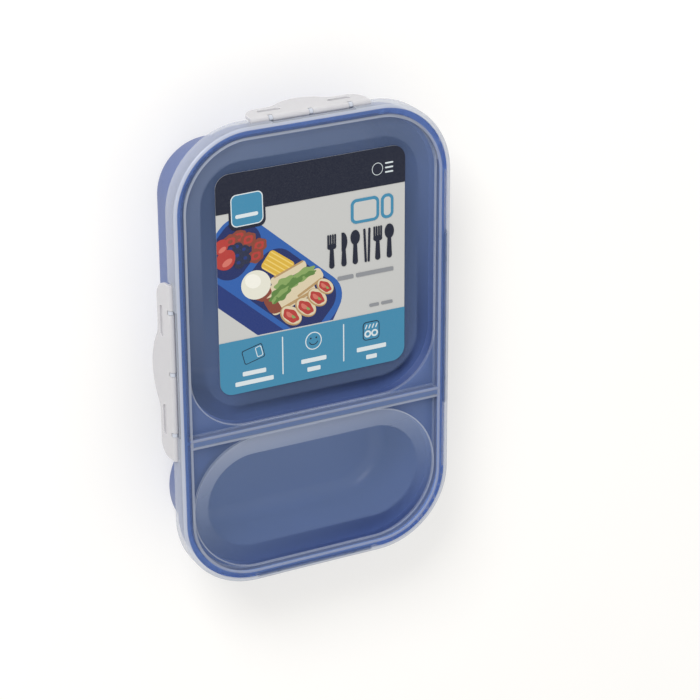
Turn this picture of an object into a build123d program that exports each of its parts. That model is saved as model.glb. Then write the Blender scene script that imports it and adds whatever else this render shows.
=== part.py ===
from build123d import *
from math import isclose
import os

os.makedirs("parts", exist_ok=True)

# A lunch box that lies flat: a tray with two tubs, a lid with a seal, and four clips that
# hinge on the lid. Millimetres, +Z up out of the lid, +Y along the box, and the origin on
# the table under the middle. The large compartment is at +Y and the small one at -Y.
# A "depth" is measured down from the lid's rim, and an "inset" inward from its outer wall.

# Whole box
LID_WIDTH = 148.6
LID_LENGTH = 240.0
LID_CORNER = 39.7
HEIGHT = 50.0

# Lid: outer wall, a channel that holds the seal, an inner wall and a deck with two dishes
SKIRT_DEPTH = 9.0
RIM_ROUND = 2.0
RIM_CEILING = 1.2
CHANNEL_OUTER = 2.2
CHANNEL_INNER = 5.2
INNER_WALL = 1.6
INNER_WALL_DEPTH = 5.5
EDGE_ROUND = 0.45
DECK_DEPTH = 2.2
DECK_THICK = 1.4
DIVIDER_Y = -37.5
DIVIDER_CHANNEL = 2.4

# Dishes in the deck, each a bevelled lip, a wide slope and a flat floor
LIP = 0.6
LIP_DROP = 0.4
FLOOR_DEPTH = 4.6
FLOOR_THICK = 1.3
LARGE_DISH = dict(width=134.4, length=146.6, corner=32.5, low_corner=27.0, y=39.6)
LARGE_FLOOR = dict(width=116.4, length=126.0, corner=21.5, low_corner=20.0, y=38.8)
SMALL_DISH = dict(width=134.4, length=72.0, corner=35.9, y=-76.9)
SMALL_FLOOR = dict(width=117.0, length=50.4, corner=25.1, y=-76.6)

# Seal and label
SEAL_HEIGHT = 2.2
LABEL = dict(width=101.2, length=113.6, corner=7.0, y=39.7)
LABEL_THICK = 0.2

# Tray: a rim that stands in the lid's channel, a ridge between the tubs, a deck and two tubs
WALL = 1.8
RIM_INSET = 2.7
RIM_GAP = 0.3
RIM_BOTTOM = 11.8
TRAY_EDGE_ROUND = 0.8
TRAY_DECK_DEPTH = 8.2
RIDGE_THICK = 1.4
BASE_ROUND = 10.8
LARGE_MOUTH = dict(width=136.0, length=148.8, corner=32.8, y=38.9)
LARGE_BASE = dict(width=127.0, length=131.7, corner=25.5, y=35.15)
SMALL_MOUTH = dict(width=136.0, length=74.8, corner=37.3, y=-77.4)
SMALL_BASE = dict(width=124.6, length=58.2, corner=29.0, y=-80.6)

# Clip hinge: a rod on the lid with a barrel of the clip around it. Three knuckles, as round as
# the barrel, join the rod to the lid and part the barrel.
ROD_RADIUS = 0.8
ROD_CLEARANCE = 0.05
BARREL_RADIUS = 1.6
AXIS_OUT = 0.3
AXIS_DEPTH = 5.2
KNUCKLE_WIDTH = 1.8
KNUCKLE_GAP = 0.2
HINGE_GAP = 0.2
NOTCH_INSET = 0.7

# Clip plate, its finger tab, its hooks and the pockets in its face
PLATE_THICK = 1.6
PLATE_DROP = 10.8
PLATE_CORNER = 7.5
PLATE_EDGE_ROUND = 0.45
TAB_DROP = 6.2
TAB_BLEND = 12.0
POCKET_HEIGHT = 3.0
POCKET_DEPTH = 0.8
POCKET_DROP = 6.6
HOOK_GAP = 0.3
HOOK_THICK = 1.4
HOOK_REACH = 1.3
HOOK_SHORT = 1.0
LUG_DEPTH = 9.7
LUG_THICK = 1.8
LUG_REACH = 0.2

# Two clips on the long sides and two on the ends. "flare" is how far the free edge stands
# further out than the hinge, "grip" is where each hook sits and "rod" is half the rod's length.
SIDE_CLIP = dict(length=92.0, flare=1.4, tab=39.0, grip=26.0, grip_width=16.0, rod=33.0)
END_CLIP = dict(length=63.0, flare=0.2, tab=30.0, grip=18.5, grip_width=12.0, rod=22.0)
CLIPS = {
    "right_clip": (SIDE_CLIP, -90, LID_WIDTH / 2),
    "top_end_clip": (END_CLIP, 0, LID_LENGTH / 2),
    "left_clip": (SIDE_CLIP, 90, LID_WIDTH / 2),
    "bottom_end_clip": (END_CLIP, 180, LID_LENGTH / 2),
}

# Cuts reach this far past a part, joined pieces this far into each other
OVERSIZE = 20.0
OVERLAP = 0.5


def height(depth):
    """Height above the table of a depth below the lid's rim."""
    return HEIGHT - depth


def plan(inset):
    """The lid's outline, moved inward."""
    return RectangleRounded(LID_WIDTH - 2 * inset, LID_LENGTH - 2 * inset, LID_CORNER - inset)


def rounded(shape, grow=0.0):
    """A rounded rectangle. The corners at its -Y end have a radius of their own if it states one."""
    outline = Rectangle(shape["width"] + 2 * grow, shape["length"] + 2 * grow)
    low, high = outline.vertices().group_by(Axis.Y)
    outline = fillet(high, shape["corner"] + grow)
    low = outline.vertices().group_by(Axis.Y)[0]
    outline = fillet(low, shape.get("low_corner", shape["corner"]) + grow)
    return Pos(0, shape["y"]) * outline


def layer(sketch, top, bottom):
    """A flat layer between two depths."""
    return extrude(Pos(0, 0, height(bottom)) * sketch, bottom - top)


def block(x_range, y_range, depth_range):
    """A box between two limits along X, along Y and in depth."""
    size = [high - low for low, high in (x_range, y_range, depth_range)]
    centre = [(low + high) / 2 for low, high in (x_range, y_range)]
    return Pos(centre[0], centre[1], height(depth_range[1])) * Box(
        *size, align=(Align.CENTER, Align.CENTER, Align.MIN)
    )


def rod(x_low, x_high, radius):
    """A round bar along the hinge axis of the clip on the +Y side, measured from the outer wall."""
    bar = Cylinder(radius, x_high - x_low, rotation=(0, 90, 0))
    return Pos((x_low + x_high) / 2, AXIS_OUT, height(AXIS_DEPTH)) * bar


def on_side(part, name):
    """Turn and move a part made for the +Y side to the side of the named clip."""
    _, turn, reach = CLIPS[name]
    return Rot(0, 0, turn) * Pos(0, reach, 0) * part


def knuckle_spans(clip):
    """The places along the rod where a knuckle of the lid holds it."""
    end = clip["rod"]
    half = KNUCKLE_WIDTH / 2
    return [(-end, KNUCKLE_WIDTH - end), (-half, half), (end - KNUCKLE_WIDTH, end)]


# ---------------------------------------------------------------- lid

def loop(inset, divider_gap, above):
    """The part of the plan on one side of the divider, with square corners beside it."""
    edge = DIVIDER_Y + divider_gap if above else DIVIDER_Y - divider_gap
    middle = edge + LID_LENGTH / 2 if above else edge - LID_LENGTH / 2
    return plan(inset) & (Pos(0, middle) * Rectangle(LID_WIDTH, LID_LENGTH))


def recess_loop(above):
    """The opening in the rim that shows the deck."""
    return loop(CHANNEL_INNER + INNER_WALL, DIVIDER_CHANNEL / 2 + INNER_WALL, above)


def wall_loop(above):
    """The outside of the inner wall around one half of the deck."""
    return loop(CHANNEL_INNER, DIVIDER_CHANNEL / 2, above)


def dish_cut(dish, floor):
    """The hollow of one dish: a narrow bevel, then a wide slope to a flat floor."""
    lip_top = Pos(0, 0, height(DECK_DEPTH)) * rounded(dish)
    lip_bottom = Pos(0, 0, height(DECK_DEPTH + LIP_DROP)) * rounded(dish, -LIP)
    bottom = Pos(0, 0, height(FLOOR_DEPTH)) * rounded(floor)
    return loft([lip_top, lip_bottom]) + loft([lip_bottom, bottom])


def dish_shell(dish, floor):
    """The underside of one dish."""
    top = Pos(0, 0, height(DECK_DEPTH + DECK_THICK)) * rounded(dish)
    bottom = Pos(0, 0, height(FLOOR_DEPTH + FLOOR_THICK)) * rounded(floor)
    return loft([top, bottom])


def clip_recess(clip):
    """Room in the lid's outer wall for the barrel, and a shallow notch over the rod."""
    half = clip["length"] / 2 + HINGE_GAP
    wall = AXIS_OUT - BARREL_RADIUS - HINGE_GAP
    top = AXIS_DEPTH - BARREL_RADIUS - HINGE_GAP
    room = block((-half, half), (wall, OVERSIZE), (top, SKIRT_DEPTH + OVERLAP))
    notch = block((-clip["rod"], clip["rod"]), (-NOTCH_INSET, OVERSIZE), (0, top + OVERLAP))
    return room + notch


def hinge_rod(clip):
    """The rod, with the knuckles that join it to the lid."""
    bar = rod(-clip["rod"], clip["rod"], ROD_RADIUS)
    wall = AXIS_OUT - BARREL_RADIUS - HINGE_GAP
    for low, high in knuckle_spans(clip):
        depths = (AXIS_DEPTH - ROD_RADIUS, AXIS_DEPTH + ROD_RADIUS)
        bar += rod(low, high, BARREL_RADIUS)
        bar += block((low, high), (wall - OVERLAP, AXIS_OUT), depths)
    return bar


def make_lid():
    lid = layer(plan(0), 0, SKIRT_DEPTH)
    lid = fillet(lid.faces().sort_by(Axis.Z)[-1].edges(), RIM_ROUND)
    lid -= layer(plan(CHANNEL_OUTER), RIM_CEILING, SKIRT_DEPTH)
    for above in (True, False):
        lid -= layer(recess_loop(above), 0, RIM_CEILING)
    lid = fillet(lid.faces().sort_by(Axis.Z)[-1].inner_wires().edges(), EDGE_ROUND)
    for above, dish, floor in ((True, LARGE_DISH, LARGE_FLOOR), (False, SMALL_DISH, SMALL_FLOOR)):
        lid += layer(wall_loop(above) - recess_loop(above), RIM_CEILING, INNER_WALL_DEPTH)
        deck = layer(recess_loop(above), DECK_DEPTH, DECK_DEPTH + DECK_THICK)
        lid += deck + dish_shell(dish, floor) - dish_cut(dish, floor)
    for name, (clip, _, _) in CLIPS.items():
        lid -= on_side(clip_recess(clip), name)
        lid += on_side(hinge_rod(clip), name)
    return lid


# ---------------------------------------------------------------- seal and label

def make_seal():
    """One moulded ring that fills the channel, with a bar across for the divider."""
    ring = plan(CHANNEL_OUTER) - plan(CHANNEL_INNER)
    bar_length = LID_WIDTH - 2 * CHANNEL_INNER + 2 * OVERLAP
    bar = Pos(0, DIVIDER_Y) * Rectangle(bar_length, DIVIDER_CHANNEL)
    return layer(ring + bar, RIM_CEILING, RIM_CEILING + SEAL_HEIGHT)


def make_label():
    """A printed sticker on the floor of the large dish."""
    return layer(rounded(LABEL), FLOOR_DEPTH - LABEL_THICK, FLOOR_DEPTH)


# ---------------------------------------------------------------- tray

def tub(mouth, base, grow):
    """A tapered tub, moved inward by -grow, with a round bottom edge."""
    floor = -grow
    top = Pos(0, 0, height(TRAY_DECK_DEPTH)) * rounded(mouth, grow)
    bottom = Pos(0, 0, floor) * rounded(base, grow)
    body = loft([bottom, top])
    return fillet(body.faces().sort_by(Axis.Z)[0].edges(), BASE_ROUND + grow)


def lugs(clip):
    """Two lugs under the lid's skirt that the hooks of one clip catch."""
    pair = Part()
    for side in (-1, 1):
        middle = side * clip["grip"]
        span = (middle - clip["grip_width"] / 2, middle + clip["grip_width"] / 2)
        pair += block(span, (-RIM_INSET - WALL / 2, LUG_REACH), (LUG_DEPTH, LUG_DEPTH + LUG_THICK))
    return pair


def make_tray():
    rim_top = RIM_CEILING + SEAL_HEIGHT + RIM_GAP
    rim_sketch = plan(RIM_INSET) - plan(RIM_INSET + WALL)
    rim = layer(rim_sketch, rim_top, RIM_BOTTOM)
    rim = fillet(rim.faces().sort_by(Axis.Z)[-1].edges(), TRAY_EDGE_ROUND)
    deck = layer(plan(RIM_INSET + WALL / 2), TRAY_DECK_DEPTH, TRAY_DECK_DEPTH + WALL)
    half_ridge = LID_WIDTH / 2 - RIM_INSET - WALL / 2
    ridge_y = (DIVIDER_Y - RIDGE_THICK / 2, DIVIDER_Y + RIDGE_THICK / 2)
    ridge = block((-half_ridge, half_ridge), ridge_y, (rim_top, TRAY_DECK_DEPTH))
    tray = rim + deck + ridge
    tray += tub(LARGE_MOUTH, LARGE_BASE, 0) + tub(SMALL_MOUTH, SMALL_BASE, 0)
    tray -= tub(LARGE_MOUTH, LARGE_BASE, -WALL) + tub(SMALL_MOUTH, SMALL_BASE, -WALL)
    for name, (clip, _, _) in CLIPS.items():
        tray += on_side(lugs(clip), name)
    return tray


# ---------------------------------------------------------------- clips

def plate_outline(clip):
    """The clip's face: rounded free corners and a finger tab that swells in the middle."""
    half = clip["length"] / 2
    tab = clip["tab"] / 2
    free = -PLATE_DROP
    tip = free - TAB_DROP
    points = [(half, 0), (half, free + PLATE_CORNER), (half - PLATE_CORNER, free), (tab, free)]
    right = Polyline(points[0], points[1])
    corner = RadiusArc(points[1], points[2], PLATE_CORNER)
    straight = Polyline(points[2], points[3])
    swell = ThreePointArc(points[3], (0, tip), (-tab, free))
    half_edge = right + corner + straight
    edges = half_edge + swell + mirror(half_edge, Plane.YZ) + Line((-half, 0), (half, 0))
    face = make_face(edges)
    roots = face.vertices().filter_by(lambda vertex: isclose(abs(vertex.X), tab))
    return fillet(roots, TAB_BLEND)


def plate_frame(clip):
    """The plane of the clip's inner face, leaning out from the hinge by the flare."""
    inner = AXIS_OUT + BARREL_RADIUS - PLATE_THICK
    outward = (0, PLATE_DROP, clip["flare"])
    return Plane(origin=(0, inner, height(AXIS_DEPTH)), x_dir=(-1, 0, 0), z_dir=outward)


def make_plate(clip):
    plate = extrude(plate_outline(clip), PLATE_THICK)
    outer = plate.faces().sort_by(Axis.Z)[-1]
    free_edges = outer.edges().filter_by_position(Axis.Y, -OVERSIZE, -OVERLAP)
    plate = fillet(free_edges, PLATE_EDGE_ROUND)
    for side in (-1, 1):
        face = Pos(side * clip["grip"], -POCKET_DROP, PLATE_THICK)
        pocket = SlotOverall(clip["grip_width"], POCKET_HEIGHT)
        plate -= face * extrude(pocket, -POCKET_DEPTH)
    return plate_frame(clip).location * plate


def hooks(clip):
    """Two ribs on the clip's inner face that sit under the tray's lugs."""
    pair = Part()
    top = LUG_DEPTH + LUG_THICK + HOOK_GAP
    lean = clip["flare"] / PLATE_DROP
    root = AXIS_OUT + BARREL_RADIUS - PLATE_THICK / 2 + lean * (top - AXIS_DEPTH)
    for side in (-1, 1):
        middle = side * clip["grip"]
        half = clip["grip_width"] / 2 - HOOK_SHORT
        depths = (top, top + HOOK_THICK)
        pair += block((middle - half, middle + half), (LUG_REACH - HOOK_REACH, root), depths)
    return pair


def knuckle_room(clip):
    """Gaps in the barrel and the plate around the lid's knuckles."""
    room = Part()
    reach = BARREL_RADIUS + KNUCKLE_GAP
    for low, high in knuckle_spans(clip):
        span = (low - KNUCKLE_GAP, high + KNUCKLE_GAP)
        room += rod(span[0], span[1], reach)
    return room


def make_clip(clip):
    """One clip for the +Y side, closed."""
    half = clip["length"] / 2
    body = rod(-half, half, BARREL_RADIUS) + make_plate(clip) + hooks(clip)
    end = clip["rod"] + KNUCKLE_GAP
    body -= rod(-end, end, ROD_RADIUS + ROD_CLEARANCE)
    return body - knuckle_room(clip)


export_step(make_tray(), "parts/tray.step")
export_step(make_lid(), "parts/lid.step")
export_step(make_seal(), "parts/seal.step")
export_step(make_label(), "parts/label.step")
for clip_name, (clip_kind, _, _) in CLIPS.items():
    export_step(on_side(make_clip(clip_kind), clip_name), f"parts/{clip_name}.step")
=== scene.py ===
import math

import bmesh
import bpy
from mathutils import Matrix, Vector
from mathutils.geometry import convex_hull_2d


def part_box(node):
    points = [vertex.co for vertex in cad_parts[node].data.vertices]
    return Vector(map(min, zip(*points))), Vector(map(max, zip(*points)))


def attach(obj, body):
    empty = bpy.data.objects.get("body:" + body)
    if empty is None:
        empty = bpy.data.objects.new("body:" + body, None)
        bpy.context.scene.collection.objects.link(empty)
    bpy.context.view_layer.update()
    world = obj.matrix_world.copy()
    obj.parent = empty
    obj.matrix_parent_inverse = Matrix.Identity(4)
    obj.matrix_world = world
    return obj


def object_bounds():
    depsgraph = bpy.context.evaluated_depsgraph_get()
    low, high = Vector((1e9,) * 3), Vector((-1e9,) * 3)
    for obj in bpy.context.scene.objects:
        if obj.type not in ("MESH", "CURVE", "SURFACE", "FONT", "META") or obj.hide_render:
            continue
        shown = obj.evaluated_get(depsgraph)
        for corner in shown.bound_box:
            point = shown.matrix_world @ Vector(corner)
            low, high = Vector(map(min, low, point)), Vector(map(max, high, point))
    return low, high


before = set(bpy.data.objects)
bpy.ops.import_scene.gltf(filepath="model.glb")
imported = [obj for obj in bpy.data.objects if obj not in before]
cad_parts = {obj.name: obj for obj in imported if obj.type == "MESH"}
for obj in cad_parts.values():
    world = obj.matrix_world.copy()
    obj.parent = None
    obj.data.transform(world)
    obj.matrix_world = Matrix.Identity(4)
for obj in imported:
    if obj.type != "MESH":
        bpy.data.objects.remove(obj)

CAD_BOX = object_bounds()
LID_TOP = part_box("lid")[1].z
MM = 0.001

# The lid's plan, in millimetres from its middle: the rounded outline, how far inward its outer
# wall, channel and inner wall end, the divider, and the lips and floors of the two dishes. Then
# how wide a lip is, how far down the rim's crest goes, and where the hinge knuckles start.
LID_OUTLINE = dict(width=148.6, length=240.0, corner=39.7)
OUTER_WALL_END = 2.2
CHANNEL_END = 5.2
INNER_WALL_END = 6.8
DIVIDER_Y = -37.5
DIVIDER_GAP = 1.2
DIVIDER_WALL_END = 2.8
LARGE_DISH = dict(width=134.4, length=146.6, corner=30.0, y=39.6)
SMALL_DISH = dict(width=134.4, length=72.0, corner=35.9, y=-76.9)
LARGE_FLOOR = dict(width=116.4, length=126.0, corner=21.0, y=38.8)
SMALL_FLOOR = dict(width=117.0, length=50.4, corner=25.1, y=-76.6)
LIP = 0.6
CREST_DEPTH = 1.2
KNUCKLE_START = -0.1

# How softly, in millimetres, one region of the lid fades into the next
SOFT = 0.2
SOFT_OUTER = 0.25
SOFT_SLOPE = 0.3
SOFT_DISH = 0.15
SOFT_LIP = 0.1
SOFT_KNUCKLE = 0.05

# How milky the lid looks: its deck, then each dish's floor, its slopes at the -Y and +Y ends, and
# what the slopes gain toward -X. That rise of the slopes toward +Y and -X is a painted reflection,
# and the extra milk of the lips and of the rim's crest is a painted highlight
DECK_MILK = 0.16
LARGE_MILK_AND_SHEEN = dict(floor=0.16, low=0.03, high=0.30, side=0.06)
SMALL_MILK_AND_SHEEN = dict(floor=0.23, low=0.00, high=0.56, side=0.08)
CHANNEL_MILK = 0.20
DIVIDER_MILK = 0.50
WALL_MILK = 0.46
OUTER_MILK = 0.43
CREST_HIGHLIGHT = 0.74
KNUCKLE_MILK = 0.95
LIP_HIGHLIGHT = 0.26
MILK_DRIFT = 0.02

# The lid's colour where it is a thin film and where one looks into its thickness. The walls whiten
# toward the second, the lips with them as a painted highlight, and the slopes as a painted reflection
FILM_COLOUR = (0.20, 0.295, 0.53, 1.0)
THICK_AND_SHEEN_COLOUR = (0.55, 0.58, 0.65, 1.0)
WALL_WHITE_AND_LIP_HIGHLIGHT = 0.8
SLOPE_SHEEN_WHITE = 1.7

# Fine texture: noise cells in a metre, relief in metres, and how rough each surface is
COLOUR_CELLS = 14.0
GLOSS_CELLS = 260.0
GRAIN_CELLS = 1200.0
CLOUD_CELLS = 30.0
LID_GLOSS_CELLS = 300.0
LID_GRAIN_CELLS = 2200.0
INK_CELLS = 3000.0
FILM_GLOSS_CELLS = 120.0
FILM_WAVE_CELLS = 90.0
GRAIN_DEPTH = 0.00001
FILM_WAVE_DEPTH = 0.00002
GLOSS_DRIFT = 0.06
LID_ROUGH = (0.30, 0.44)
FILM_ROUGH = (0.44, 0.56)

# The label, in millimetres: its corners, where its header and its picture end, the pale rule
# above its band, how much higher each printed shape lies, and how the picture is turned, in degrees
LABEL_CORNER = 7.0
HEADER_LOW = 77.0
FIELD_LOW = 11.6
RULE_LOW = 10.9
INK_STEP = 0.003
PICTURE_TURN = -41.5

# The camera: its place, what it aims at, the direction that is up in the picture, and its lens
CAMERA_PLACE = Vector((-0.5155, 0.5080, 1.0897))
CAMERA_AIM = Vector((0.0179, -0.0043, 0.0500))
CAMERA_RISE = Vector((0.1875, 0.9158, -0.3551))
LENS = 133.1
SENSOR = 36.0
CAMERA_REACH = 30.0

# Light: the sky at its +Y and -Y sides and how far it takes to change, a key light, and the floor
SKY_HIGH = 0.56
SKY_LOW = 0.80
SKY_REACH = 0.5
KEY_PLACE = (-0.95, 1.40, 1.15)
KEY_SIZE = 0.7
KEY_POWER = 27.0
FLOOR_SIZE = 12.0
FLOOR_CELLS = 4
FLOOR_GLOW = 0.43
FLOOR_COLOUR = (0.615, 0.60, 0.57, 1.0)


def linear(red, green, blue):
    """A colour given in the 0 to 255 steps of a screen, as scene-linear RGBA."""
    def channel(value):
        value /= 255
        return value / 12.92 if value <= 0.04045 else ((value + 0.055) / 1.055) ** 2.4
    return (channel(red), channel(green), channel(blue), 1.0)


TRAY_BLUE = linear(76, 96, 150)
SEAL_BLUE = linear(126, 168, 238)
CLIP_WHITE = linear(194, 193, 196)
INKS = {
    "navy": linear(20, 26, 46),
    "teal": linear(62, 134, 168),
    "white": linear(196, 196, 193),
    "pale": linear(214, 222, 224),
    "grey": linear(140, 142, 146),
    "box_rim": linear(42, 92, 166),
    "box_side": linear(30, 52, 116),
    "box_inside": linear(28, 42, 96),
    "cream": linear(214, 200, 168),
    "egg": linear(224, 222, 206),
    "yellow": linear(214, 174, 62),
    "green": linear(92, 128, 62),
    "leaf": linear(132, 160, 92),
    "red": linear(176, 58, 52),
    "berry": linear(38, 44, 70),
    "brown": linear(132, 66, 50),
    "crust": linear(178, 146, 100),
    "blush": linear(206, 112, 98),
    "corn": linear(232, 202, 110),
    "shine": linear(238, 236, 224),
}


# ---------------------------------------------------------------- materials

class Graph:
    """One material's node tree, with a short way to add each kind of node."""

    def __init__(self, name):
        self.material = bpy.data.materials.new(name)
        self.material.use_nodes = True
        self.nodes = self.material.node_tree.nodes
        self.shader = self.nodes["Principled BSDF"]
        self.place = self.node("ShaderNodeTexCoord").outputs["Object"]

    def node(self, kind, **settings):
        made = self.nodes.new(kind)
        for key, value in settings.items():
            setattr(made, key, value)
        return made

    def join(self, value, socket):
        """Link a socket, or set a plain number or colour."""
        if isinstance(value, bpy.types.NodeSocket):
            self.material.node_tree.links.new(value, socket)
        else:
            socket.default_value = value

    def math(self, operation, *values):
        made = self.node("ShaderNodeMath", operation=operation)
        for value, socket in zip(values, made.inputs):
            self.join(value, socket)
        return made.outputs[0]

    def opposite(self, mask):
        return self.math("SUBTRACT", 1.0, mask)

    def mix(self, factor, first, second):
        """The first colour where the factor is 0 and the second where it is 1."""
        made = self.node("ShaderNodeMix", data_type="RGBA")
        for value, socket in ((factor, 0), (first, 6), (second, 7)):
            self.join(value, made.inputs[socket])
        return made.outputs[2]

    def blend(self, mask, value, other):
        """The first number where the mask is 0 and the other where it is 1."""
        return self.math("ADD", value, self.math("MULTIPLY", mask, self.math("SUBTRACT", other, value)))

    def noise(self, cells, detail):
        made = self.node("ShaderNodeTexNoise")
        self.join(self.place, made.inputs["Vector"])
        made.inputs["Scale"].default_value = cells
        made.inputs["Detail"].default_value = detail
        made.inputs["Roughness"].default_value = 0.55
        return made.outputs["Fac"]

    def spread(self, value, low, high):
        """Map 0..1 to low..high."""
        return self.math("ADD", self.math("MULTIPLY", value, high - low), low)

    def step(self, value, start, end):
        """0 at start and 1 at end, clamped."""
        made = self.node("ShaderNodeMapRange", clamp=True)
        self.join(value, made.inputs["Value"])
        made.inputs["From Min"].default_value = start
        made.inputs["From Max"].default_value = end
        return made.outputs["Result"]

    def below(self, value, limit, soft):
        """1 where a distance is below a limit, 0 above it. The limit is in millimetres."""
        return self.step(value, (limit + soft) * MM, (limit - soft) * MM)

    def band(self, value, start, end):
        """1 where a distance is between two limits in millimetres."""
        past_start = self.opposite(self.below(value, start, SOFT))
        return self.math("MULTIPLY", self.below(value, end, SOFT), past_start)

    def bump(self, height, depth):
        """Relief with its height in metres."""
        made = self.node("ShaderNodeBump")
        made.inputs["Strength"].default_value = 1.0
        made.inputs["Distance"].default_value = depth
        self.join(height, made.inputs["Height"])
        self.join(made.outputs["Normal"], self.shader.inputs["Normal"])

    def set(self, **values):
        for key, value in values.items():
            self.join(value, self.shader.inputs[key.replace("_", " ")])


def plastic(name, colour, rough, grain=GRAIN_DEPTH, shade=0.07, **values):
    """Moulded plastic: faint drift in its colour, uneven gloss and a fine tool texture."""
    graph = Graph(name)
    drift = graph.noise(COLOUR_CELLS, 2.0)
    dark = tuple(c * (1 - shade) for c in colour[:3]) + (1.0,)
    light = tuple(min(1.0, c * (1 + shade)) for c in colour[:3]) + (1.0,)
    graph.set(Base_Color=graph.mix(graph.step(drift, 0.35, 0.65), dark, light))
    gloss = graph.noise(GLOSS_CELLS, 4.0)
    graph.set(Roughness=graph.spread(gloss, rough - GLOSS_DRIFT, rough + GLOSS_DRIFT))
    graph.bump(graph.noise(GRAIN_CELLS, 1.0), grain)
    graph.set(**values)
    return graph.material


def inset(graph, x, y, shape):
    """How far inside a rounded rectangle a point of the plan is, in metres."""
    corner = shape["corner"] * MM
    past = []
    for value, size in ((x, shape["width"]), (y, shape["length"])):
        past.append(graph.math("SUBTRACT", graph.math("ABSOLUTE", value), size * MM / 2 - corner))
    within = graph.math("MINIMUM", graph.math("MAXIMUM", *past), 0.0)
    squares = [graph.math("POWER", graph.math("MAXIMUM", value, 0.0), 2.0) for value in past]
    beyond = graph.math("SQRT", graph.math("ADD", *squares))
    return graph.math("SUBTRACT", corner, graph.math("ADD", within, beyond))


def rim_masks(graph, x, y, z):
    """Where the lid's walls, channel, divider, crest and hinge knuckles are."""
    edge = inset(graph, x, y, LID_OUTLINE)
    height = graph.math("SUBTRACT", z, LID_TOP)
    from_divider = graph.math("ABSOLUTE", graph.math("SUBTRACT", y, DIVIDER_Y * MM))
    outer = graph.below(edge, OUTER_WALL_END, SOFT_OUTER)
    channel = graph.below(edge, CHANNEL_END, SOFT)
    bars = graph.band(from_divider, DIVIDER_GAP, DIVIDER_WALL_END)
    return dict(
        outer=outer,
        channel=channel,
        divider=graph.below(from_divider, DIVIDER_GAP, SOFT),
        crest=graph.math("MULTIPLY", outer, graph.step(height, -CREST_DEPTH * MM, -CREST_DEPTH / 2 * MM)),
        knuckles=graph.below(edge, KNUCKLE_START, SOFT_KNUCKLE),
        walls=graph.math("MAXIMUM", graph.band(edge, CHANNEL_END, INNER_WALL_END),
                         graph.math("MULTIPLY", bars, graph.opposite(channel))),
    )


def dish_masks(graph, x, y, dish, floor):
    """Where one dish's lip, slope and flat floor are."""
    to_lip = inset(graph, x, graph.math("SUBTRACT", y, dish["y"] * MM), dish)
    to_floor = inset(graph, x, graph.math("SUBTRACT", y, floor["y"] * MM), floor)
    inside = graph.step(to_lip, 0.0, SOFT_DISH * MM)
    return dict(
        lip=graph.math("MULTIPLY", inside, graph.below(to_lip, LIP, SOFT_LIP)),
        slope=graph.math("MULTIPLY", inside, graph.below(to_floor, 0.0, SOFT_SLOPE)),
        flat=graph.step(to_floor, -SOFT_SLOPE * MM, SOFT_SLOPE * MM),
    )


def slope_milk_and_sheen(graph, x, y, dish, milk_and_sheen):
    """How milky a dish's slopes are, more so toward +Y and -X: that rise is a painted reflection."""
    reach, half = dish["length"] * MM / 2, dish["width"] * MM / 2
    from_middle = graph.math("SUBTRACT", y, dish["y"] * MM)
    along = graph.spread(graph.step(from_middle, -reach, reach), milk_and_sheen["low"], milk_and_sheen["high"])
    across = graph.spread(graph.step(x, -half, half), milk_and_sheen["side"], -milk_and_sheen["side"])
    return graph.math("MAXIMUM", graph.math("ADD", along, across), 0.0)


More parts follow.
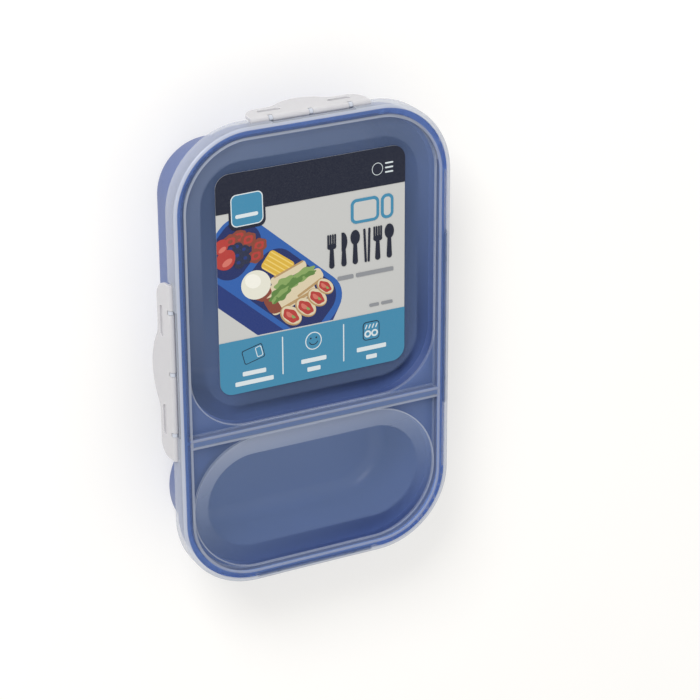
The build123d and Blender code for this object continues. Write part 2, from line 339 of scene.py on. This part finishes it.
def frosted_with_sheen():
    """The lid: clear where it is thin, milky along its walls, where one looks into the plastic, with a
    painted highlight on the dish lips and the rim's crest and a painted reflection on the slopes.
    """
    graph = Graph("lid_frosted_with_sheen")
    axes = graph.node("ShaderNodeSeparateXYZ")
    graph.join(graph.place, axes.inputs[0])
    x, y, z = axes.outputs
    rim = rim_masks(graph, x, y, z)
    drift = graph.spread(graph.noise(CLOUD_CELLS, 3.0), -MILK_DRIFT, MILK_DRIFT)
    alpha = graph.math("ADD", drift, DECK_MILK)
    alpha = graph.blend(rim["divider"], alpha, DIVIDER_MILK)
    alpha = graph.blend(rim["channel"], alpha, CHANNEL_MILK)
    thickness_and_sheen = graph.math("MAXIMUM", rim["outer"], graph.math("MULTIPLY", rim["walls"], WALL_WHITE_AND_LIP_HIGHLIGHT))
    dishes = ((LARGE_DISH, LARGE_FLOOR, LARGE_MILK_AND_SHEEN), (SMALL_DISH, SMALL_FLOOR, SMALL_MILK_AND_SHEEN))
    for dish, floor, milk_and_sheen in dishes:
        part = dish_masks(graph, x, y, dish, floor)
        # Painted reflection: the slopes' milk rises toward +Y and -X
        slope_haze_and_sheen = slope_milk_and_sheen(graph, x, y, dish, milk_and_sheen)
        alpha = graph.blend(part["flat"], alpha, graph.math("ADD", drift, milk_and_sheen["floor"]))
        alpha = graph.blend(part["slope"], alpha, slope_haze_and_sheen)
        # Painted highlight: each lip is milkier than its slope
        alpha = graph.blend(part["lip"], alpha, graph.math("ADD", slope_haze_and_sheen, LIP_HIGHLIGHT))
        # Painted reflection: the slopes whiten where their milk is high
        painted_sheen_white = graph.math("MULTIPLY", graph.math("POWER", slope_haze_and_sheen, 2.0), SLOPE_SHEEN_WHITE)
        thickness_and_sheen = graph.math("MAXIMUM", thickness_and_sheen, graph.math("MULTIPLY", part["slope"], painted_sheen_white))
        # Painted highlight: the lips whiten like the walls
        thickness_and_sheen = graph.math("MAXIMUM", thickness_and_sheen, graph.math("MULTIPLY", part["lip"], WALL_WHITE_AND_LIP_HIGHLIGHT))
    # The crest's milk is a painted highlight along the rim's rounded top
    for name, milk_and_sheen in (("walls", WALL_MILK), ("outer", OUTER_MILK), ("crest", CREST_HIGHLIGHT),
                       ("knuckles", KNUCKLE_MILK)):
        alpha = graph.math("MAXIMUM", alpha, graph.math("MULTIPLY", rim[name], milk_and_sheen))
    graph.set(Alpha=alpha, Base_Color=graph.mix(thickness_and_sheen, FILM_COLOUR, THICK_AND_SHEEN_COLOUR))
    graph.set(Roughness=graph.spread(graph.noise(LID_GLOSS_CELLS, 4.0), *LID_ROUGH))
    graph.bump(graph.noise(LID_GRAIN_CELLS, 2.0), GRAIN_DEPTH)
    return graph.material


def ink(name, colour):
    """Print on a satin film: a fine dot pattern, with the film's slight unevenness."""
    graph = Graph(name)
    speck = graph.noise(INK_CELLS, 2.0)
    paler = tuple(c * 0.94 + 0.02 for c in colour[:3]) + (1.0,)
    graph.set(Base_Color=graph.mix(graph.step(speck, 0.40, 0.70), colour, paler))
    graph.set(Roughness=graph.spread(graph.noise(FILM_GLOSS_CELLS, 3.0), *FILM_ROUGH))
    graph.set(Specular_IOR_Level=0.25)
    graph.bump(graph.noise(FILM_WAVE_CELLS, 2.0), FILM_WAVE_DEPTH)
    return graph.material


def dress(node, material):
    """Give a carried-over CAD part its finish."""
    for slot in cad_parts[node].material_slots:
        slot.material = material


# ---------------------------------------------------------------- outlines of print

def turned(points, turn, x, y):
    """Points turned by an angle in degrees, then moved to x, y."""
    cosine, sine = math.cos(math.radians(turn)), math.sin(math.radians(turn))
    return [(x + px * cosine - py * sine, y + px * sine + py * cosine) for px, py in points]


def pill(x, y, width, length, corner, turn=0.0, steps=8):
    """A rounded rectangle around x, y."""
    points = []
    for quarter, (side, end) in enumerate(((1, 1), (-1, 1), (-1, -1), (1, -1))):
        for step in range(steps + 1):
            angle = math.pi / 2 * (quarter + step / steps)
            points.append((side * (width / 2 - corner) + corner * math.cos(angle),
                           end * (length / 2 - corner) + corner * math.sin(angle)))
    return turned(points, turn, x, y)


def oval(x, y, wide, high, turn=0.0, waves=0, swell=0.0, steps=40):
    """An ellipse, or a wavy blob, from its two radii."""
    points = []
    for step in range(steps):
        angle = 2 * math.pi * step / steps
        reach = 1 + swell * math.sin(waves * angle)
        points.append((wide * reach * math.cos(angle), high * reach * math.sin(angle)))
    return turned(points, turn, x, y)


def hull(points):
    """The outline around a set of points."""
    return [points[i] for i in convex_hull_2d(points)]


def kept(points, axis, limit, sign):
    """The part of an outline on one side of a straight cut along X or Y."""
    result = []
    for here, following in zip(points, points[1:] + points[:1]):
        inside, next_inside = (sign * (p[axis] - limit) >= 0 for p in (here, following))
        if inside:
            result.append(here)
        if inside != next_inside:
            share = (limit - here[axis]) / (following[axis] - here[axis])
            result.append(tuple(a + (b - a) * share for a, b in zip(here, following)))
    return result


class Print:
    """Thin layers of ink on the label, one closed mesh for each colour."""

    def __init__(self):
        low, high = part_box("label")
        self.top = high.z
        self.left, self.right = low.x / MM, high.x / MM
        self.low, self.high = low.y / MM, high.y / MM
        self.shapes = {}
        self.level = 0

    def sheet(self):
        """The label's own outline."""
        middle = (self.low + self.high) / 2
        return pill(0, middle, self.right - self.left, self.high - self.low, LABEL_CORNER)

    def add(self, colour, *outlines):
        """Each shape lies a step higher than the one before it."""
        for outline in outlines:
            self.level += 1
            self.shapes.setdefault(colour, []).append((outline, self.level))

    def picture(self, colour, *outlines):
        """Shapes that stop at the label's left edge and at the pale rule."""
        for outline in outlines:
            self.add(colour, kept(kept(outline, 0, self.left, 1), 1, FIELD_LOW, 1))

    def framed(self, line, inside, x, y, width, length, corner, inner_corner, border, turn=0.0):
        """A rounded rectangle with a line of even width around it."""
        self.add(line, pill(x, y, width, length, corner, turn))
        self.add(inside, pill(x, y, width - 2 * border, length - 2 * border, inner_corner, turn))

    def ring(self, line, inside, x, y, wide, high, border):
        """An ellipse with a line of even width around it."""
        self.add(line, oval(x, y, wide, high))
        self.add(inside, oval(x, y, wide - border, high - border))

    def build(self):
        for colour, shapes in self.shapes.items():
            mesh = bmesh.new()
            for outline, level in shapes:
                heights = (self.top, self.top + level * INK_STEP * MM)
                low, high = [[mesh.verts.new((px * MM, py * MM, z)) for px, py in outline] for z in heights]
                mesh.faces.new(high)
                mesh.faces.new(low[::-1])
                for i in range(len(outline)):
                    j = (i + 1) % len(outline)
                    mesh.faces.new((low[i], low[j], high[j], high[i]))
            bmesh.ops.recalc_face_normals(mesh, faces=mesh.faces)
            data = bpy.data.meshes.new("print_" + colour)
            mesh.to_mesh(data)
            mesh.free()
            piece = bpy.data.objects.new("print_" + colour, data)
            bpy.context.scene.collection.objects.link(piece)
            data.materials.append(ink("ink_" + colour, INKS[colour]))
            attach(piece, "lid")


# ---------------------------------------------------------------- the label's print
# Every place below is in millimetres from the middle of the lid, and every turn is in degrees.

def header_and_band(art):
    """A dark header with a badge and an emblem, and the teal band."""
    badge_x, badge_y, badge_turn = -34.4, 77.6, 1.0
    emblem_y = 86.0
    art.add("navy", kept(art.sheet(), 1, HEADER_LOW, 1), pill(badge_x, 77.0, 19.2, 18.4, 3.4, badge_turn))
    art.add("teal", kept(art.sheet(), 1, RULE_LOW, -1))
    art.framed("pale", "teal", badge_x, badge_y, 16.9, 16.4, 3.0, 2.6, 0.5, badge_turn)
    art.add("pale", pill(-34.6, 74.6, 12.0, 1.9, 0.9, badge_turn))
    art.ring("pale", "navy", 35.4, emblem_y, 3.0, 3.2, 0.3)
    for row in range(3):
        art.add("pale", pill(41.8, emblem_y + 2.3 * (1 - row), 4.4, 0.8, 0.3))


def handle(x, low, high, wide):
    """A tapering bar that stands on its wider end."""
    foot = oval(x, low + wide / 2, wide / 2, wide / 2, steps=12)
    neck = oval(x, high, wide * 0.3, wide * 0.3, steps=12)
    return hull(foot + neck)


def fork(art, x, low, high, grip):
    art.add("navy", handle(x, low, high - 6.0, grip), pill(x, high - 6.2, 4.8, 2.6, 1.2))
    for tine in (-1.9, -0.65, 0.65, 1.9):
        art.add("navy", pill(x + tine, high - 3.0, 0.85, 6.2, 0.4))


def spoon(art, x, low, high, grip):
    art.add("navy", handle(x, low, high - 5.0, grip), oval(x, high - 3.6, 2.5, 3.8))


def knife(art, x, low, high, grip):
    """Its blade has a straight back and a rounded edge."""
    length, bulge, steps = 9.6, 1.8, 16
    shares = [step / steps for step in range(steps + 1)]
    edge = [(x + bulge * math.sin(math.pi * share) ** 0.6, high - length * share) for share in shares]
    back = [(x - 1.2, high - length), (x - 1.2, high)]
    art.add("navy", handle(x, low, high - 8.0, grip), edge + back)


def chopsticks(art, low, high):
    for x, turn in ((28.6, 2.5), (30.8, -1.5)):
        art.add("navy", pill(x, (low + high) / 2, 1.1, high - low, 0.5, turn))


def titles(art):
    """Two plain boxes and a row of cutlery stand where the words would be."""
    low, high, grip = 38.8, 56.4, 2.8
    for x, wide in ((28.6, 15.4), (40.8, 6.8)):
        art.framed("teal", "white", x, 66.1, wide, 12.6, 3.0, 1.7, 1.5)
    for x in (10.4, 35.6):
        fork(art, x, low, high, grip)
    for x in (23.2, 42.0):
        spoon(art, x, low, high, grip)
    knife(art, 17.0, low, high, grip)
    chopsticks(art, low, high)
    for x, wide, y, tall in ((17.8, 8.6, 32.8, 2.0), (33.9, 20.6, 32.8, 2.0), (33.6, 5.2, 15.4, 1.5),
                             (40.7, 6.2, 15.4, 1.5)):
        art.add("grey", pill(x, y, wide, tall, 0.5))


def band_lines(art):
    """The band's two dividing lines, and bars in place of its captions."""
    for x in (-16.9, 16.5):
        art.add("pale", pill(x, -1.7, 0.6, 20.0, 0.25))
    for x, upper, lower in ((-32.3, 12.6, 20.6), (0.0, 13.8, 7.2), (32.0, 16.4, 6.0)):
        art.add("pale", pill(x, -7.3, upper, 2.3, 0.5), pill(x, -12.1, lower, 2.3, 0.5))


def divided_box_icon(art):
    tilt = 14
    art.framed("navy", "teal", -32.7, 2.4, 11.2, 7.6, 1.0, 0.8, 0.35, tilt)
    art.framed("pale", "teal", -29.6, 3.2, 3.4, 5.6, 0.9, 0.6, 0.4, tilt)


def smile_icon(art):
    x, y, steps = -0.1, 2.8, 16
    art.ring("pale", "teal", x, y, 4.5, 4.7, 0.5)
    art.add("navy", oval(x - 1.5, y + 1.5, 0.45, 0.5), oval(x + 1.5, y + 1.5, 0.45, 0.5))
    angles = [math.pi * (1.08 + 0.84 * step / steps) for step in range(steps + 1)]
    outside = [(2.6 * math.cos(angle), 2.3 * math.sin(angle)) for angle in angles]
    inside = [(px * 0.8, py * 0.8) for px, py in reversed(outside)]
    art.add("navy", turned(outside + inside, 0, x, y + 0.1))


def rack_icon(art):
    """Plates in a rack."""
    art.framed("navy", "teal", 31.8, 1.9, 9.2, 9.8, 2.0, 1.6, 0.4)
    for x in (29.9, 33.7):
        art.ring("pale", "teal", x, 0.4, 1.9, 1.9, 0.9)
    for step in range(4):
        art.add("pale", pill(29.0 + 1.9 * step, 4.3, 0.6, 2.4, 0.25, -24))


def lunch_tub(art):
    """A box with two compartments, seen from above and from one corner."""
    def local(along, across):
        return turned([(along, across)], PICTURE_TURN, -21.0, 39.5)[0]

    rim = pill(*local(0, 0), 82, 35, 13, PICTURE_TURN)
    side = [(px - 4.5, py - 8.5) for px, py in rim]
    art.picture("box_side", hull(rim + side))
    art.picture("box_rim", rim)
    art.picture("box_inside", pill(*local(12.5, 0), 50, 30, 10.5, PICTURE_TURN))
    art.picture("box_inside", pill(*local(-27.5, 0), 23, 30, 10.0, PICTURE_TURN))


def corn(art):
    turn = -37
    art.picture("yellow", pill(-18.6, 46.0, 16.0, 10.4, 2.0, turn))
    for row in range(5):
        art.picture("corn", pill(-16.4 - 1.2 * row, 49.2 - 1.8 * row, 14.6, 0.6, 0.25, turn))


def sandwich(art):
    """Bread, its crusts, the filling and the leaves, each over the one before."""
    art.picture("cream", pill(-13.0, 40.8, 20.0, 4.6, 1.8, 20), pill(-3.0, 34.0, 18.0, 7.0, 2.4, 28),
                pill(-11.0, 27.6, 25.0, 8.0, 2.4, 20), pill(-20.4, 33.6, 12.0, 6.4, 2.0, 38))
    art.picture("crust", pill(-10.5, 25.2, 21, 1.6, 0.7, 20), pill(-13.0, 42.8, 17, 1.0, 0.4, 20),
                pill(-1.6, 31.2, 15, 1.3, 0.5, 28))
    art.picture("brown", oval(-26.4, 32.8, 4.6, 3.4, 40, 5, 0.08),
                oval(-21.6, 25.6, 5.6, 3.2, -48, 4, 0.08))
    art.picture("leaf", oval(-5.0, 38.6, 6.6, 3.0, 22, 6, 0.10), oval(-14.0, 35.4, 6.6, 3.8, 10, 7, 0.10))
    art.picture("green", oval(-17.6, 31.0, 6.2, 3.6, 30, 7, 0.12), oval(-9.6, 36.0, 5.0, 2.1, 25, 5, 0.12),
                oval(-1.6, 38.4, 3.4, 1.3, 10, 5, 0.14))
    art.picture("leaf", oval(-16.6, 31.6, 4.0, 1.3, 30, 5, 0.16), oval(-6.4, 39.2, 3.6, 0.9, 22, 5, 0.16),
                oval(-21.0, 28.4, 2.0, 0.9, 60, 4, 0.16))


def egg(art):
    art.picture("egg", oval(-30.4, 38.0, 8.0, 7.4, -30))
    art.picture("shine", oval(-32.0, 40.2, 4.4, 3.5, -30))


def rolls(art):
    """A row of filled rolls, each given by its middle and its larger radius."""
    for x, y, wide in ((-12.0, 18.4, 6.8), (-4.0, 21.2, 6.6), (2.2, 25.2, 6.2), (6.6, 30.2, 5.4)):
        art.picture("crust", oval(x, y, wide, wide * 0.64, PICTURE_TURN))
        art.picture("cream", oval(x + 0.3, y + 0.3, wide * 0.93, wide * 0.57, PICTURE_TURN))
        art.picture("red", oval(x, y, wide * 0.74, wide * 0.42, PICTURE_TURN, 5, 0.07))
        art.picture("blush", oval(x - 0.8, y + 0.6, wide * 0.34, wide * 0.16, PICTURE_TURN, 3, 0.1))
        art.picture("leaf", oval(x + 1.3, y - 0.9, wide * 0.18, wide * 0.1, PICTURE_TURN, 3, 0.15))


def fruit(art):
    """Ring-shaped snacks, blueberries and strawberries in the small compartment."""
    for x, y in ((-39.0, 64.2), (-34.0, 62.0), (-28.4, 58.0), (-30.2, 53.0), (-43.4, 62.6)):
        art.picture("brown", oval(x, y, 4.2, 3.6, 20, 6, 0.06))
        art.picture("red", oval(x, y, 2.7, 2.1, 20, 4, 0.08))
        art.picture("brown", oval(x, y, 1.3, 1.0, 20))
    for x, y in ((-39.6, 59.0), (-36.0, 57.0), (-39.6, 54.4), (-35.4, 52.4), (-39.0, 50.6), (-43.0, 58.4)):
        art.picture("berry", oval(x, y, 2.7, 2.6))
        art.picture("box_side", oval(x - 0.4, y + 0.6, 1.0, 0.9))
    for x, y, size in ((-48.6, 60.6, 4.2), (-46.2, 53.6, 5.6)):
        art.picture("red", oval(x, y, size, size * 0.86, 30, 3, 0.05))
        art.picture("blush", oval(x + 0.9, y - 1.4, size * 0.52, size * 0.28, 30))


# ---------------------------------------------------------------- stage

def floor():
    mesh = bmesh.new()
    bmesh.ops.create_grid(mesh, x_segments=FLOOR_CELLS, y_segments=FLOOR_CELLS, size=FLOOR_SIZE / 2)
    data = bpy.data.meshes.new("floor")
    mesh.to_mesh(data)
    mesh.free()
    made = bpy.data.objects.new("floor", data)
    bpy.context.scene.collection.objects.link(made)
    made.location.z = CAD_BOX[0].z
    data.materials.append(plastic("floor_paper", FLOOR_COLOUR, rough=0.85, grain=0.0, shade=0.004,
                                  Specular_IOR_Level=0.1, Emission_Color=(1, 1, 1, 1),
                                  Emission_Strength=FLOOR_GLOW))


def sky():
    """White light from all round, a little stronger from -Y than from +Y."""
    world = bpy.data.worlds.new("studio")
    world.use_nodes = True
    tree = world.node_tree
    axes = tree.nodes.new("ShaderNodeSeparateXYZ")
    across = tree.nodes.new("ShaderNodeMapRange")
    across.inputs["From Min"].default_value = -SKY_REACH
    across.inputs["From Max"].default_value = SKY_REACH
    across.inputs["To Min"].default_value = SKY_LOW
    across.inputs["To Max"].default_value = SKY_HIGH
    tree.links.new(tree.nodes.new("ShaderNodeTexCoord").outputs["Generated"], axes.inputs[0])
    tree.links.new(axes.outputs["Y"], across.inputs["Value"])
    tree.links.new(across.outputs[0], tree.nodes["Background"].inputs["Strength"])
    tree.nodes["Background"].inputs["Color"].default_value = (1.0, 1.0, 1.0, 1.0)
    bpy.context.scene.world = world


def key_light():
    data = bpy.data.lights.new("key", "AREA")
    data.size = KEY_SIZE
    data.energy = KEY_POWER
    key = bpy.data.objects.new("key", data)
    bpy.context.scene.collection.objects.link(key)
    key.location = KEY_PLACE
    key.rotation_euler = (CAMERA_AIM - Vector(KEY_PLACE)).to_track_quat("-Z", "Y").to_euler()


def camera():
    data = bpy.data.cameras.new("camera")
    data.lens = LENS
    data.sensor_width = SENSOR
    data.clip_end = CAMERA_REACH
    made = bpy.data.objects.new("camera", data)
    bpy.context.scene.collection.objects.link(made)
    back = (CAMERA_PLACE - CAMERA_AIM).normalized()
    right = CAMERA_RISE.cross(back).normalized()
    turn = Matrix((right, back.cross(right), back)).transposed().to_4x4()
    made.matrix_world = Matrix.Translation(CAMERA_PLACE) @ turn
    bpy.context.scene.camera = made
    bpy.context.scene.view_settings.view_transform = "Standard"


dress("tray", plastic("tray_blue", TRAY_BLUE, rough=0.36))
dress("seal", plastic("seal_rubber", SEAL_BLUE, rough=0.55))
dress("label", ink("label_white", INKS["white"]))
dress("lid", frosted_with_sheen())
clip_finish = plastic("clip_milky", CLIP_WHITE, rough=0.38, shade=0.015,
                      Subsurface_Weight=0.3, Subsurface_Scale=0.002, Subsurface_Radius=(1.0, 1.0, 1.0))
for clip in ("left_clip", "right_clip", "top_end_clip", "bottom_end_clip"):
    dress(clip, clip_finish)

label_print = Print()
for draw in (lunch_tub, corn, sandwich, egg, rolls, fruit, header_and_band, titles, band_lines,
             divided_box_icon, smile_icon, rack_icon):
    draw(label_print)
label_print.build()

floor()
sky()
key_light()
camera()
